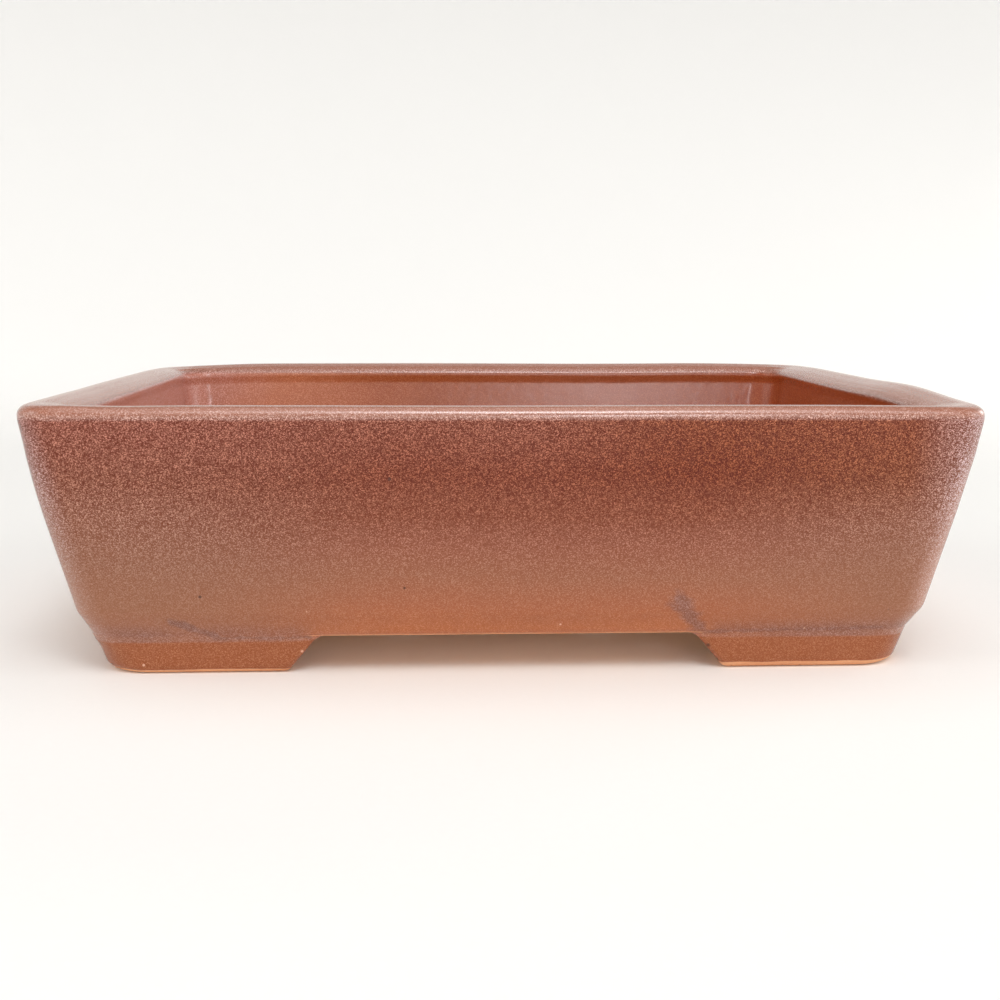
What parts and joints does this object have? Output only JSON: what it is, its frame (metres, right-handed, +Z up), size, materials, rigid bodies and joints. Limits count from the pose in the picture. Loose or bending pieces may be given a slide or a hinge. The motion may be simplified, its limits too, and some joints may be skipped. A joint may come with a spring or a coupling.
{
  "type": "bonsai pot",
  "caption": "Shallow rectangular glazed bonsai pot with flared walls, a rounded rim and bracket feet, and with screened drain holes in its floor.",
  "frame": {"origin": "on the surface that the feet stand on, under the middle of the pot", "axes": "+X along the long side to the right, +Y from the front to the back, +Z up"},
  "size_m": [0.181, 0.138, 0.0541],
  "materials": {
    "glaze": "glossy red-brown glaze with fine pale crystals",
    "bare_clay": "unglazed tan stoneware, matt and slightly gritty",
    "screen_plastic": "satin moulded netting",
    "aluminium": "soft annealed wire"
  },
  "bodies": {
    "root": {"floor_slab": "bare_clay", "wall_front": "glaze", "wall_back": "glaze", "wall_left": "glaze", "wall_right": "glaze", "rim": "glaze", "foot_front_left": "glaze", "foot_front_right": "glaze", "foot_back_left": "glaze", "foot_back_right": "glaze", "drain_screen_left": "screen_plastic", "drain_screen_right": "screen_plastic", "screen_clip_left": "aluminium", "screen_clip_right": "aluminium"}
  },
  "joints": []
}
